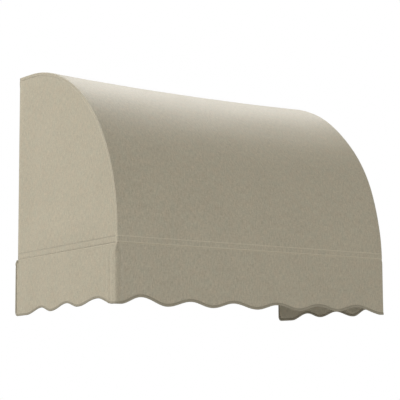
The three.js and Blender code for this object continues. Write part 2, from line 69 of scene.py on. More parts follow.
# Cover panel. One piece of heathered acrylic canvas, cut 1028.7 mm wide between its side seams, runs from the
# clamped flap behind the header over the bows to the hem at the front. It is stretched, and dips between the
# bows. Its side edges turn down over the side panels as a 10 mm felled seam.
half_width = 0.51435
rear_y = -0.018
rear_z = 0.053
top_fall = 0.047
top_flat = 0.074
bend_radius = 0.561
seam_z = -0.529
row_gap = 0.017
hem_z = seam_z - 0.0185
right_hem_out = 0.0016
canvas_thick = 0.0008
flap_long = 0.0205
lap_bend = 0.0015
lap_wide = 0.010
wrap_edge = half_width - lap_bend
seam_row = wrap_edge - 0.008
arc = lap_bend * math.pi / 2
bend_y = rear_y - top_flat * math.cos(top_fall) + bend_radius * math.sin(top_fall)
bend_z = rear_z - top_flat * math.sin(top_fall) - bend_radius * math.cos(top_fall)
front_y = bend_y - bend_radius
bend_end = top_flat + bend_radius * (math.pi / 2 - top_fall)
hem_run = bend_end + bend_z - hem_z
first_row = bend_end + bend_z - seam_z
seam_runs = [first_row, first_row + row_gap]


def side_curve(run):
    """Side profile of the cover's outer face at distance run along it from the rear top edge, as y, z and the
    outward normal's y and z. A straight top falls towards the front, then comes one circular bend down to
    vertical, then a short straight leg. Behind the rear edge the cloth folds down round a 0.4 mm arc as a
    flap."""
    run = np.asarray(run, float)
    angle = top_fall + np.clip((run - top_flat) / bend_radius, 0, math.pi / 2 - top_fall)
    back = np.maximum(top_flat - np.maximum(run, 0), 0)
    down = np.maximum(run - bend_end, 0)
    y = bend_y - bend_radius * np.sin(angle) + back * math.cos(top_fall)
    z = bend_z + bend_radius * np.cos(angle) + back * math.sin(top_fall) - down
    fold = 0.0004
    turned = np.clip(-run / fold, 0, math.pi / 2)
    flap = np.maximum(-run - fold * math.pi / 2, 0)
    y = y + fold * (np.sin(turned - top_fall) + math.sin(top_fall)) * (run < 0)
    z = z + fold * (np.cos(turned - top_fall) - math.cos(top_fall)) * (run < 0) - flap
    angle = angle - turned
    return y, z, -np.sin(angle), np.cos(angle)


def ease(x, low, high):
    """Smooth step from 0 at low to 1 at high: 3t squared minus 2t cubed."""
    t = np.clip((np.asarray(x, float) - low) / (high - low), 0, 1)
    return t * t * (3 - 2 * t)


def racked(x, run):
    """The made frame is a little out of true. Towards its right end the top stands up to 6.5 mm high, the
    lower front lies up to 3.6 mm back, and the hem stands 1.6 mm out: humps along the run, times a share
    that grows evenly across the width."""
    high = 0.0065 * ease(run, 0.03, 0.12) * (1 - ease(run, 0.30, 0.52))
    low = 0.0036 * np.exp(-(((run - 0.80) / 0.10) ** 2)) * (1 - ease(run, 0.86, 0.93))
    flare = right_hem_out * ease(run, 0.90, 0.96)
    return (high - low + flare) * np.clip(0.5 + x / (2 * half_width), 0, 1)


def cover_dip(x, run):
    """How far the stretched cloth dips towards the middle of the bend: a parabola across the width, times
    the 0.7 power of a half sine along the run, from the header rail to the front rail."""
    share = np.clip((run - 0.036) / (bend_end - 0.066 - 0.036), 0, 1)
    dip = 0.013 * np.sin(math.pi * share) ** 0.7 * np.clip(1 - (x / half_width) ** 2, 0, 1)
    # faint tension ripples: two low crossing sines, under half a millimetre
    ripple = 0.0004 * np.sin(19 * x + 9 * run) * np.sin(14 * run - 7 * x + 1) * np.sin(math.pi * share)
    return dip + ripple


def puckers(along, across_seam, rows):
    """Little gathers that stitching pulls up: a groove 3 mm wide at each row, 0.45 mm deep, whose depth
    swells and fades along the row with two sines of 17 and 29 mm."""
    swell = 0.75 + 0.15 * np.sin(2 * math.pi * along / 0.017) + 0.1 * np.sin(2 * math.pi * along / 0.029 + 1)
    return sum(0.00045 * swell * np.exp(-(((across_seam - row) / 0.0016) ** 2)) for row in rows)


def cover_place(over, run):
    """A place on the cover, over metres from the middle of its width and run metres along it. Past the
    seam edge the cloth turns through a 1.5 mm quarter arc and lies down the side panel's face, and over
    the last 6 mm it is pressed 0.1 mm closer by the stitching."""
    past = np.maximum(np.abs(over) - wrap_edge, 0)
    turned = np.clip(past / lap_bend, 0, math.pi / 2)
    depth = lap_bend * (1 - np.cos(turned)) + np.maximum(past - arc, 0) - racked(over, run)
    pressed = 0.0001 * ease(past, 0.0045, 0.0105)
    x = np.sign(over) * (np.minimum(np.abs(over), wrap_edge) + lap_bend * np.sin(turned) - pressed)
    y, z, normal_y, normal_z = side_curve(run)
    on_top = turned < 0.01
    inner = depth + cover_dip(x, run) * on_top
    inner = inner + 0.15 * puckers(over, run, seam_runs) * on_top
    inner = inner + 0.5 * puckers(run, np.abs(over), [seam_row]) * on_top
    return np.stack(np.broadcast_arrays(x, y - normal_y * inner, z - normal_z * inner), -1)


def shown(name, mesh):
    """The mesh as an object at the origin of the scene."""
    thing = bpy.data.objects.new(name, mesh)
    bpy.context.scene.collection.objects.link(thing)
    return thing


def lay_cloth(mesh, cloth):
    """Keeps each vertex's place on the flat cloth, in metres, as a UV map."""
    corners = np.zeros(len(mesh.loops), np.int32)
    mesh.loops.foreach_get("vertex_index", corners)
    mesh.uv_layers.new(name="cloth").uv.foreach_set("vector", cloth.reshape(-1, 2)[corners].reshape(-1))


def sheet_object(name, points, cloth, flip=False):
    """A mesh from a grid of points and a matching grid of cloth coordinates."""
    rows, columns = points.shape[:2]
    grid = np.arange(rows * columns).reshape(rows, columns)
    quads = np.stack([grid[:-1, :-1], grid[1:, :-1], grid[1:, 1:], grid[:-1, 1:]], -1).reshape(-1, 4)
    if flip:
        quads = quads[:, ::-1]
    mesh = bpy.data.meshes.new(name)
    mesh.vertices.add(rows * columns)
    mesh.vertices.foreach_set("co", points.reshape(-1))
    mesh.loops.add(quads.size)
    mesh.loops.foreach_set("vertex_index", quads.reshape(-1).astype(np.int32))
    mesh.polygons.add(len(quads))
    mesh.polygons.foreach_set("loop_start", np.arange(0, quads.size, 4, dtype=np.int32))
    mesh.update(calc_edges=True)
    lay_cloth(mesh, cloth)
    mesh.shade_smooth()
    mesh.validate()
    return shown(name, mesh)


def thicken(thing, thickness, offset=-1):
    """Gives a single-layer cloth its thickness."""
    wall = thing.modifiers.new("thickness", "SOLIDIFY")
    wall.thickness = thickness
    wall.offset = offset
    return thing


class Tone:
    """A value on its way through a finish. Plus, minus and times add Math nodes."""

    def __init__(self, finish, socket):
        self.finish, self.socket = finish, socket

    def maths(self, operation, a, b=0.0):
        return self.finish.node("ShaderNodeMath", {"operation": operation}, {0: a, 1: b})

    def __add__(self, other):
        return self.maths("ADD", self, other)

    def __sub__(self, other):
        return self.maths("SUBTRACT", self, other)

    def __rsub__(self, other):
        return self.maths("SUBTRACT", other, self)

    def __mul__(self, other):
        return self.maths("MULTIPLY", self, other)

    __radd__, __rmul__ = __add__, __mul__

    def sine(self):
        return self.maths("SINE", self)

    def size(self):
        return self.maths("ABSOLUTE", self)


class Finish:
    """One material. node() adds any node from its type, its settings and the values or links of its
    sockets."""

    def __init__(self, name, **fixed):
        self.material = bpy.data.materials.new(name)
        self.material.use_nodes = True
        self.tree = self.material.node_tree
        self.shader = self.tree.nodes["Principled BSDF"]
        for key, value in fixed.items():
            self.shader.inputs[key.replace("_", " ")].default_value = value

    def node(self, kind, settings=None, sockets=None, output=0):
        made = self.tree.nodes.new(kind)
        for key, value in (settings or {}).items():
            setattr(made, key, value)
        for key, value in (sockets or {}).items():
            if isinstance(value, Tone):
                self.tree.links.new(value.socket, made.inputs[key])
            else:
                made.inputs[key].default_value = value
        return Tone(self, made.outputs[output])

    def feed(self, key, tone):
        self.tree.links.new(tone.socket, self.shader.inputs[key])

    def stretched(self, vector, by, detail=2.0, rough=0.5):
        """Noise on coordinates stretched by three factors, so its grain is long where the factor is small."""
        pulled = self.node("ShaderNodeVectorMath", {"operation": "MULTIPLY"}, {0: vector, 1: by})
        sockets = {"Vector": pulled, "Scale": 1.0, "Detail": detail, "Roughness": rough}
        return self.node("ShaderNodeTexNoise", None, sockets)

    def mixed(self, factor, low, high):
        sockets = {"Factor": factor, 6: low, 7: high}
        return self.node("ShaderNodeMix", {"data_type": "RGBA"}, sockets, output=2)

    def band(self, distance, width):
        """1 on a line and 0 past width from it, with a smooth fall."""
        sockets = {"Value": distance, "From Min": 0.0, "From Max": width, "To Min": 1.0, "To Max": 0.0}
        return self.node("ShaderNodeMapRange", {"interpolation_type": "SMOOTHSTEP"}, sockets)

    def bumped(self, height, strength, distance):
        sockets = {"Height": height, "Strength": strength, "Distance": distance}
        self.feed("Normal", self.node("ShaderNodeBump", None, sockets))

    def cloth_place(self):
        """The piece's place on the flat cloth: the pair, how far along and how far across."""
        pair = self.node("ShaderNodeUVMap", {"uv_map": "cloth"})
        along = self.node("ShaderNodeSeparateXYZ", None, {0: pair})
        return pair, along, Tone(self, along.socket.node.outputs[1])

    def solid_place(self):
        """The place in the piece itself, in metres."""
        return self.node("ShaderNodeTexCoord", None, None, output=3)


def canvas_finish(name, lines):
    """Heathered woven canvas. Warp and weft slubs are noise drawn out along each thread, a finer heather
    and a broad cloudiness vary the colour, a faint warm and cool drift runs through the dye, and two
    crossed sines of 1.1 mm pitch raise the plain weave. Each line is painted light: an axis of the cloth,
    a place on it, how wide the painted mark is, and how much darker the cloth is painted there, as painted
    shade, or lighter where that is below 0, as a painted highlight."""
    finish = Finish(name, Specular_IOR_Level=0.42, Sheen_Weight=0.18, Sheen_Roughness=0.3)
    cloth, u, v = finish.cloth_place()
    warp = finish.stretched(cloth, (1100, 70, 1))
    weft = finish.stretched(cloth, (60, 1000, 1))
    upright = finish.stretched(cloth, (230, 60, 1), 3)
    heather = finish.stretched(cloth, (190, 190, 1), 3, 0.6)
    cloud = finish.stretched(cloth, (9, 7, 1), 2)
    drift = finish.stretched(cloth, (42, 36, 1), 2)
    tone = 0.5 + (warp - 0.5) * 0.8 + (weft - 0.5) * 0.6
    tone = tone + (upright - 0.5) * 1.0 + (heather - 0.5) * 1.0 + (cloud - 0.5) * 0.2
    # painted shade and painted highlight: each line darkens or lightens the cloth's colour along a seam, fold
    # or edge
    for axis, place, width, darker in lines:
        coordinate = u if axis == "u" else v
        tone = tone - finish.band((coordinate - place).size(), width) * darker
    dye = np.array([0.485, 0.432, 0.318])
    heathered = finish.mixed(tone, (*(0.76 * dye), 1), (*(1.24 * dye), 1))
    tinted = finish.node(
        "ShaderNodeMix", {"data_type": "RGBA", "blend_type": "MULTIPLY"},
        {"Factor": 1.0, 6: heathered, 7: finish.mixed(drift, (1.05, 0.99, 0.97, 1), (0.95, 1.01, 1.03, 1))},
        output=2,
    )
    finish.feed("Base Color", tinted)
    pitch = 2 * math.pi / 0.0011
    weave = (u * pitch).sine() * (v * pitch).sine()
    finish.bumped(weave * 0.25 + warp * 0.6 + weft * 0.6 + heather * 0.5, 0.28, 0.0005)
    finish.feed("Roughness", 0.40 + (heather - 0.5) * 0.2)
    return finish.material


over = np.concatenate(
    [
        np.linspace(-wrap_edge, -wrap_edge + 0.02, 14)[:-1],
        np.linspace(-wrap_edge + 0.02, wrap_edge - 0.02, 150),
        np.linspace(wrap_edge - 0.02, wrap_edge, 14)[1:],
    ]
)
turn_down = np.concatenate([np.linspace(0, arc, 6)[1:], arc + np.linspace(0, lap_wide, 7)[1:]])
run = np.concatenate(
    [
        -np.linspace(flap_long, 0.004, 8),
        -np.linspace(0.0032, 0.0004, 6),
        np.linspace(0, bend_end, 184)[:-1],
        np.linspace(bend_end, seam_runs[0] - 0.004, 8)[:-1],
        np.linspace(seam_runs[0] - 0.004, hem_run, 44),
    ]
)
full = np.concatenate([-wrap_edge - turn_down[::-1], over, wrap_edge + turn_down])
over_grid, run_grid = np.meshgrid(full, run, indexing="ij")
# the turned-down edge narrows to an eighth of its width at the rear fold, where the flap begins
narrow = ease(run_grid, -0.001, 0.014)
past_edge = np.maximum(np.abs(over_grid) - wrap_edge, 0)
kept_edge = past_edge * (0.12 + 0.88 * narrow)
over_cut = np.sign(over_grid) * (np.minimum(np.abs(over_grid), wrap_edge) + kept_edge)
points = cover_place(over_cut, run_grid)
cloth = np.stack([over_grid, -run_grid], -1)
cover = thicken(sheet_object("cover_cloth", points, cloth, flip=True), canvas_thick)
# painted light on the cover: the two stitch rows on the front are painted lighter, a painted highlight; the
# side seam rows on the top and the rounded fold of the turned edge are painted darker, painted shade; the
# line at the cut edge of the turned-down lap is painted lighter, a painted highlight
cover_painted_light = [("v", -seam_runs[0], 0.0024, -0.5), ("v", -seam_runs[1], 0.0026, -0.8)]
cover_painted_light += [("u", side * seam_row, 0.003, 0.1) for side in (-1, 1)]
cover_painted_light += [("u", side * (wrap_edge + 0.6 * arc), 0.002, 0.35) for side in (-1, 1)]
cover_painted_light += [("u", side * (wrap_edge + arc + 0.0095), 0.003, -0.2) for side in (-1, 1)]
cover.data.materials.append(canvas_finish("cover_canvas", cover_painted_light))
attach(cover, "root")
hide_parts("cover_panel")


# Side panels. Two quarter-round pieces of the same canvas close the ends. Each is sewn under the cover's
# turned edge, and folds in behind its post at the rear as a 20.5 mm flap. Stretched on the frame, it
# dishes in slightly.
panel_x = half_width - canvas_thick - 0.00015
panel_rear_y = rear_y - 0.0013
panel_proud = 0.0007
fold_arc = 0.0012
stitch_rows_z = [seam_z, seam_z - row_gap]


def side_panel(side):
    """Points on rays from the lower rear corner to the side profile, as a fan: corner plus a share of the
    way out. The dish is a smooth step in from each edge. Under the cover's turned edge the cloth is sunk
    0.7 mm, so that it comes out level with that edge."""
    out = np.concatenate([[0.0008], np.linspace(0.03, 0.962, 56), np.linspace(0.966, 0.9985, 24)])
    swing = np.linspace(0, 1, 150)
    bend_run = np.concatenate([np.linspace(0.0005, bend_end, 120)[:-1], np.linspace(bend_end, hem_run, 31)])
    edge_y, edge_z, normal_y, normal_z = side_curve(bend_run)
    under = 0.0012 - racked(side * half_width, bend_run)
    edge_y, edge_z = edge_y - normal_y * under, edge_z - normal_z * under
    share, _ = np.meshgrid(out, swing, indexing="ij")
    y = panel_rear_y + share * (edge_y - panel_rear_y)[None]
    z = hem_z + share * (edge_z - hem_z)[None]
    ray = np.hypot(edge_y - y, edge_z - z)
    to_corner = np.hypot(edge_y - panel_rear_y, edge_z - hem_z)
    square_on = np.abs((edge_y - panel_rear_y) * normal_y + (edge_z - hem_z) * normal_z) / to_corner
    level = panel_proud * ease(ray * square_on, 0.0098, 0.0108)
    # the top of the rear edge reaches back under the cover's fold
    y = y + 0.0017 * ease(z, 0.020, 0.032) * ease(y, rear_y - 0.006, panel_rear_y)
    from_rear, from_hem = rear_y - y, z - hem_z
    near_edge = ease(1 - share, 0, 0.25) * ease(from_rear, 0, 0.12) * ease(from_hem, 0.04, 0.16)
    dish = 0.0028 * near_edge + 0.0003 * near_edge * np.sin(23 * y + 11 * z) * np.sin(9 * y - 17 * z)
    groove = puckers(y, z, stitch_rows_z) + puckers(z, from_rear, [0.009]) * ease(from_hem, 0, 0.02)
    x = side * (panel_x + level - dish - groove)
    flat = sheet_object(f"side_flat_{side}", np.stack([x, y, z], -1), np.stack([y, z], -1), flip=side < 0)
    # the flap: the rear edge turned through a 1.2 mm arc, then straight in behind the post
    height = np.linspace(seam_z + 0.035, 0.024, 60)
    inward = np.linspace(0, flap_long, 20)
    turn = np.clip(inward / fold_arc, 0, math.pi / 2)
    straight_in = np.maximum(inward - fold_arc * math.pi / 2, 0)
    flap_x = panel_x + panel_proud - fold_arc * (1 - np.cos(turn)) - straight_in
    flap_y = panel_rear_y + fold_arc * np.sin(turn)
    grid_x, grid_z = np.meshgrid(flap_x, height, indexing="ij")
    grid_y = np.broadcast_to(flap_y[:, None], grid_x.shape)
    flap_points = np.stack([side * grid_x, grid_y, grid_z], -1)
    flap_cloth = np.stack([np.broadcast_to(rear_y + inward[:, None], grid_x.shape), grid_z], -1)
    return flat, sheet_object(f"side_flap_{side}", flap_points, flap_cloth, flip=side < 0)


# painted light on the side panels: the two stitch rows are painted darker, painted shade in their grooves; at
# the rear edge a thin line is painted darker, painted shade, and a line 8.5 mm in from it is painted lighter,
# a painted highlight
panel_painted_light = [("v", stitch_rows_z[0], 0.0026, 0.65), ("v", stitch_rows_z[1], 0.0024, 0.15)]
panel_painted_light += [("u", rear_y - 0.0085, 0.004, -0.15), ("u", rear_y - 0.0005, 0.003, 0.3)]
panel_canvas = canvas_finish("side_canvas", panel_painted_light)
for label, side in (("left", -1), ("right", 1)):
    flat, flap = side_panel(side)
    whole = bmesh.new()
    whole.from_mesh(flat.data)
    whole.from_mesh(flap.data)
    bmesh.ops.remove_doubles(whole, verts=whole.verts, dist=0.00001)
    panel = shown(f"side_cloth_{label}", bpy.data.meshes.new(f"side_cloth_{label}"))
    whole.to_mesh(panel.data)
    whole.free()
    panel.data.shade_smooth()
    for part in (flat, flap):
        bpy.data.objects.remove(part)
    thicken(panel, canvas_thick)
    panel.data.materials.append(panel_canvas)
    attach(panel, "root")
    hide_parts(f"side_panel_{label}")


# Valance. One strip of the same canvas hangs round three sides from the double row of stitching. Its top
# is tucked up behind the cover and the side panels, and its lower edge is cut in scallops. It bends
# slackly round the left corner and sharply round the right one, and its left end reaches past the side
# panel.
valance_inset = 0.0015
valance_top = seam_z + 0.008
slack_corner, sewn_corner, taut_corner = 0.022, 0.007, 0.003
left_end = -(half_width + (-0.005 - front_y))
right_end = half_width + (-0.0875 - front_y)
end_round, shoulder_round = 0.014, 0.010


def round_corner(s, inset, slack=slack_corner):
    """Plan of the strip at distance s round the three sides, measured as on sharp corners: x, y and the
    outward normal. A straight front, a quarter arc at each corner, of slack at the left and 3 mm at the
    right, less the inset, and straight sides."""
    run_out = np.abs(s)
    corner = np.where(s < 0, slack, taut_corner)
    turn = np.clip((run_out - (half_width - corner)) / (2 * corner), 0, 1) * math.pi / 2
    radius = corner - inset
    straight = np.minimum(run_out, half_width - corner)
    beyond = np.maximum(run_out - half_width - corner, 0)
    x = straight + radius * np.sin(turn)
    y = front_y + corner - radius * np.cos(turn) + beyond
    return np.sign(s) * x, y, np.sign(s) * np.sin(turn), -np.cos(turn)


# turning points of the scalloped edge, as s and height, from the left end to the right end
scallops = np.array(
    [
        (-1.137, -0.728), (-1.062, -0.7274), (-0.965, -0.7086), (-0.904, -0.7226), (-0.803, -0.704),
        (-0.740, -0.7178), (-0.628, -0.6997), (-0.545, -0.7196), (-0.505, -0.7209), (-0.436, -0.7004),
        (-0.345, -0.7252), (-0.262, -0.7089), (-0.182, -0.7248), (-0.103, -0.7094), (-0.017, -0.7254),
        (0.064, -0.7099), (0.149, -0.7257), (0.234, -0.7096), (0.313, -0.7233), (0.393, -0.7075),
        (0.508, -0.7293), (0.525, -0.7285), (0.595, -0.708), (0.656, -0.7278), (0.746, -0.7078),
        (0.824, -0.7228), (0.898, -0.7064), (0.980, -0.7275), (1.054, -0.7265),
    ]
)


def lower_edge(s):
    """Height of the scalloped edge: half cosines from each turning point to the next. The two ends round
    up on 14 mm arcs."""
    place = np.clip(np.searchsorted(scallops[:, 0], s) - 1, 0, len(scallops) - 2)
    (start, high), (stop, low) = scallops[place].T, scallops[place + 1].T
    share = np.clip((s.T - start) / (stop - start), 0, 1)
    wave = (high + (low - high) * (1 - np.cos(math.pi * share)) / 2).T
    near = np.clip(end_round - np.minimum(s - left_end, right_end - s), 0, end_round)
    return wave + end_round - np.sqrt(end_round**2 - near**2)


def upper_edge(s):
    """Top of the strip: behind the hem, but below it, with a 10 mm rounded corner, where the left end
    reaches past the side panel."""
    near = np.clip(shoulder_round - (s - left_end), 0, shoulder_round)
    short = hem_z - 0.002 - (shoulder_round - np.sqrt(shoulder_round**2 - near**2))
    return short + (valance_top - short) * ease(s - left_end, 0.0145, 0.0175)


def valance_place(s, z, out=0.0):
    """A place on the strip. It hangs 1.5 mm behind the outer face of the cover, and below the hem it
    swings in and out on sines of 420 and 131 mm that grow with depth, with small upright folds on the
    sides near the corners and creases fanning from the sewn left end. The left corner is sharper at the
    hem. Just under the hem the strip comes forward, level with the cover, and at the right corner it
    stands out more, most near the hem."""
    below = hem_z - z
    depth = np.clip(below / 0.18, 0, 1)
    slow, quick = 0.0011 * np.sin(2 * math.pi * s / 0.42 + 0.6), 0.0007 * np.sin(2 * math.pi * s / 0.131 + 2)
    swing = depth**1.2 * (slow + quick - 0.0006)
    from_corner = np.abs(s) - half_width
    beside = np.exp(-(((from_corner - 0.045) / 0.03) ** 2))
    pleats = 0.0006 * np.sin(2 * math.pi * s / 0.024) * beside * ease(depth, 0, 0.35)
    from_end = s - left_end
    near_end = np.exp(-((from_end / 0.035) ** 2) - ((0.012 - below) / 0.014) ** 2)
    fan = 0.0009 * np.sin(420 * (from_end - 0.8 * below)) * near_end * ease(below, 0.0, 0.006)
    slack = sewn_corner + (slack_corner - sewn_corner) * ease(below, 0.0, 0.03)
    x, y, normal_x, normal_y = round_corner(s, valance_inset, slack)
    at_hem, under_hem = ease(below, -0.009, -0.003), ease(below, 0.0001, 0.0011)
    with_cover = right_hem_out * np.clip(0.5 + s / (2 * half_width), 0, 1)
    with_cover = with_cover * (1 - ease(s, half_width - 0.003, half_width + 0.003))
    near_right = np.exp(-(((s - half_width) / 0.06) ** 2)) * (1 - 0.5 * (s < half_width))
    flare = (0.0018 - 0.0020 * depth) * near_right * ease(below, 0.0002, 0.012)
    on_side = ease(np.abs(from_corner), 0.0, 0.003) * (from_corner > 0)
    forward = 0.0006 * at_hem * (1 - on_side) + (0.0009 + 0.0002 * on_side) * under_hem
    loose = (swing + pleats) * ease(np.abs(from_corner), 0.004, 0.03) + fan
    shift = with_cover + flare + forward + out + loose
    return np.stack(np.broadcast_arrays(x + normal_x * shift, y + normal_y * shift, z), -1)


left_fine = np.linspace(-slack_corner, slack_corner, 21) - half_width
right_fine = np.linspace(-taut_corner, taut_corner, 9) + half_width
end_fine = np.concatenate([[0.0, 0.0002, 0.0006], np.linspace(0.0012, 0.03, 26)])
even_steps = np.arange(left_end + 0.033, right_end - 0.032, 0.0032)
strip = np.concatenate([even_steps, left_fine, right_fine, left_end + end_fine, right_end - end_fine])
# places closer than 0.15 mm to the one before are left out
strip = np.unique(np.round(strip, 7))
strip = strip[np.concatenate([[True], np.diff(strip) > 0.00015])]
# the share of the way down is finest at the hem, where the strip comes forward
at_top, at_line = np.linspace(0, 0.115, 5)[:-1], np.linspace(0.115, 0.165, 14)[:-1]
share = np.concatenate([at_top, at_line, np.linspace(0.165, 1, 40)])
strip_grid, share_grid = np.meshgrid(strip, share, indexing="ij")
top, bottom = upper_edge(strip_grid), lower_edge(strip_grid)
fall = top + (bottom - top) * share_grid
points = valance_place(strip_grid, fall)
cloth = np.stack([strip_grid, fall], -1)
valance = thicken(sheet_object("valance_cloth", points, cloth, flip=True), canvas_thick)
# the line just under the hem is painted lighter: a painted highlight set against the shade at the hem's edge
valance.data.materials.append(canvas_finish("valance_canvas", [("v", hem_z - 0.0010, 0.0024, -0.3)]))
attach(valance, "root")
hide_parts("valance")


# Binding. Woven polyester tape, folded in half and sewn over the raw edge of the valance: down the rear ends,
# round their corners and along the scallops. It is darker than the canvas and stands a little proud of it.
rear_drop = np.linspace(hem_z - 0.0125, lower_edge(np.array([left_end]))[0] - 0.0004, 60)[:-1]
top_turn = np.linspace(0.0135, 0.0002, 18)
at_left, at_right = np.full(len(rear_drop), left_end), np.full(50, right_end)
path_s = np.concatenate([left_end + top_turn, at_left, strip[1:-1], at_right])
path_z = np.concatenate(
    [
        upper_edge(left_end + top_turn),
        rear_drop,
        lower_edge(strip[1:-1]),
        np.linspace(lower_edge(np.array([right_end]))[0], hem_z - 0.012, 50),
    ]
)
step = np.hypot(np.diff(path_s), np.diff(path_z))
travelled = np.concatenate([[0], np.cumsum(step)])
even = np.linspace(0, travelled[-1], 1150)
path_s, path_z = np.interp(even, travelled, path_s), np.interp(even, travelled, path_z)
run_s, run_z = np.gradient(path_s, even), np.gradient(path_z, even)
length = np.hypot(run_s, run_z)
inward_s, inward_z = -run_z / length, run_s / length
# half of the folded section, as lap over the cloth and height off its middle; the other half mirrors it
outer = [(0.0073, 0.0006), (0.0070, 0.00095), (0.0045, 0.00115), (0.002, 0.0014)]
outer += [(0.0, 0.0013), (-0.0008, 0.0009), (-0.0011, 0.0003)]
section = outer + [(lap, -high) for lap, high in outer[::-1]]
# the inner faces of the fold, against the cloth
section += [(0.0073, -0.0005), (0.0002, -0.00048), (0.0002, 0.00048), (0.0073, 0.0005)]
lap, high = np.array(section).T


def tape_place(lap, high):
    """The tape's section carried along the edge: lap goes inwards from the edge, high goes off the cloth's
    middle."""
    return valance_place(
        path_s[:, None] + inward_s[:, None] * lap[None],
        path_z[:, None] + inward_z[:, None] * lap[None],
        high[None] - canvas_thick / 2,
    )


def swept_object(name, rings, cloth):
    """A closed skin through rings of points, each ring joined to the next and to itself, with both ends
    capped."""
    stations, sides = rings.shape[:2]
    grid = np.arange(stations * sides).reshape(stations, sides)
    after = np.roll(grid, -1, axis=1)
    quads = np.stack([grid[:-1], after[:-1], after[1:], grid[1:]], -1).reshape(-1, 4)
    ends = [grid[0][::-1], grid[-1]]
    mesh = bpy.data.meshes.new(name)
    mesh.from_pydata(rings.reshape(-1, 3), [], quads.tolist() + [end.tolist() for end in ends])
    lay_cloth(mesh, cloth)
    mesh.shade_smooth()
    return shown(name, mesh)


rings = tape_place(lap, high)
around = np.cumsum(np.hypot(np.diff(lap, prepend=lap[0]), np.diff(high, prepend=high[0])))
cloth = np.stack(np.broadcast_arrays(even[:, None], around[None]), -1)
binding = swept_object("valance_tape", rings, cloth)


def tape_finish(name, shade, light, rib):
    """Ribbed narrow fabric: ribs across the tape from a sine along it, threads from a sine across it, and
    a fleck and a cloudiness in the colour."""
    finish = Finish(name, Roughness=0.6)
    cloth, along, over_tape = finish.cloth_place()
    ribs = (along * (2 * math.pi / rib)).sine() * 0.5 + 0.5
    threads = (over_tape * (2 * math.pi / 0.0009)).sine() * 0.5 + 0.5
    fleck = finish.stretched(cloth, (500, 260, 1), 3)
    cloud = finish.stretched(cloth, (40, 40, 1), 2)
    tone = ribs * 0.25 + (fleck - 0.5) * 0.9 + (cloud - 0.5) * 0.5 + 0.4
    finish.feed("Base Color", finish.mixed(tone, shade, light))
    finish.bumped(ribs * 0.8 + threads * 0.3 + fleck * 0.5, 0.5, 0.0003)
    return finish.material


tape = tape_finish("binding_tape", (0.26, 0.231, 0.166, 1), (0.445, 0.397, 0.29, 1), 0.0012)
binding.data.materials.append(tape)
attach(binding, "root")
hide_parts("valance_binding")


# Stitching. Heavy bonded thread: a double row round the three sides where valance, cover and side panels
# are sewn together, one row along each felled side seam on both of its faces, and one row along the
# binding.
stitch_long, stitch_gap = 0.0034, 0.0011


def stitches(line, facing, thick, long=stitch_long, gap=stitch_gap):
    """A row of stitches on a line of points. Each is a six-sided thread that arches over the cloth: its
    radius and its height follow how far along the stitch it is, and the template is turned to each place
    on the line."""
    step = np.linalg.norm(np.diff(line, axis=0), axis=1)
    travelled = np.concatenate([[0], np.cumsum(step)])
    places = np.arange(gap, travelled[-1] - long, long + gap)
    middle = places + long / 2

    def at(distance, values):
        return np.stack([np.interp(distance, travelled, values[:, k]) for k in range(3)], -1)

    along = at(middle + long / 2, line) - at(middle - long / 2, line)
    along /= np.linalg.norm(along, axis=1, keepdims=True)
    up = at(middle, facing)
    up -= along * np.sum(along * up, axis=1, keepdims=True)
    up /= np.linalg.norm(up, axis=1, keepdims=True)
    aside = np.cross(along, up)
    t = np.array([-0.5, -0.36, 0.0, 0.36, 0.5])
    radius = thick / 2 * np.array([0.35, 0.85, 1.0, 0.85, 0.35])
    arch = thick * np.array([-0.35, 0.12, 0.3, 0.12, -0.35])
    ring = np.arange(6) * math.pi / 3
    local_along = np.broadcast_to((t * long)[:, None], (5, 6))
    local_up = arch[:, None] + radius[:, None] * np.sin(ring)[None]
    local_aside = radius[:, None] * np.cos(ring)[None]
    centre = at(middle, line)[:, None, None]
    points = (
        centre
        + along[:, None, None] * local_along[None, ..., None]
        + up[:, None, None] * local_up[None, ..., None]
        + aside[:, None, None] * local_aside[None, ..., None]
    )
    count = len(places)
    grid = np.arange(count * 30).reshape(count, 5, 6)
    after = np.roll(grid, -1, axis=2)
    quads = np.stack([grid[:, :-1], grid[:, 1:], after[:, 1:], after[:, :-1]], -1).reshape(-1, 4)
    caps = np.concatenate([grid[:, 0], grid[:, -1, ::-1]]).tolist()
    return points.reshape(-1, 3), quads, caps


def stitch_object(name, rows):
    """All the rows of one seam as one mesh."""
    points, faces, base = [], [], 0
    for new_points, quads, caps in rows:
        points.append(new_points)
        faces += (quads + base).tolist() + (np.array(caps) + base).tolist()
        base += len(new_points)
    mesh = bpy.data.meshes.new(name)
    mesh.from_pydata(np.concatenate(points), [], faces)
    mesh.shade_smooth()
    return shown(name, mesh)


def thread_finish(name, shade, light):
    """Twisted thread: an uneven tone, and a fine grain that stands for its plies."""
    finish = Finish(name, Roughness=0.5)
    place = finish.solid_place()
    uneven = finish.stretched(place, (260, 260, 260), 2)
    fine = finish.stretched(place, (2600, 2600, 2600), 1)
    finish.feed("Base Color", finish.mixed(uneven * 0.7 + fine * 0.3, shade, light))
    finish.bumped(fine, 0.4, 0.0002)
    return finish.material


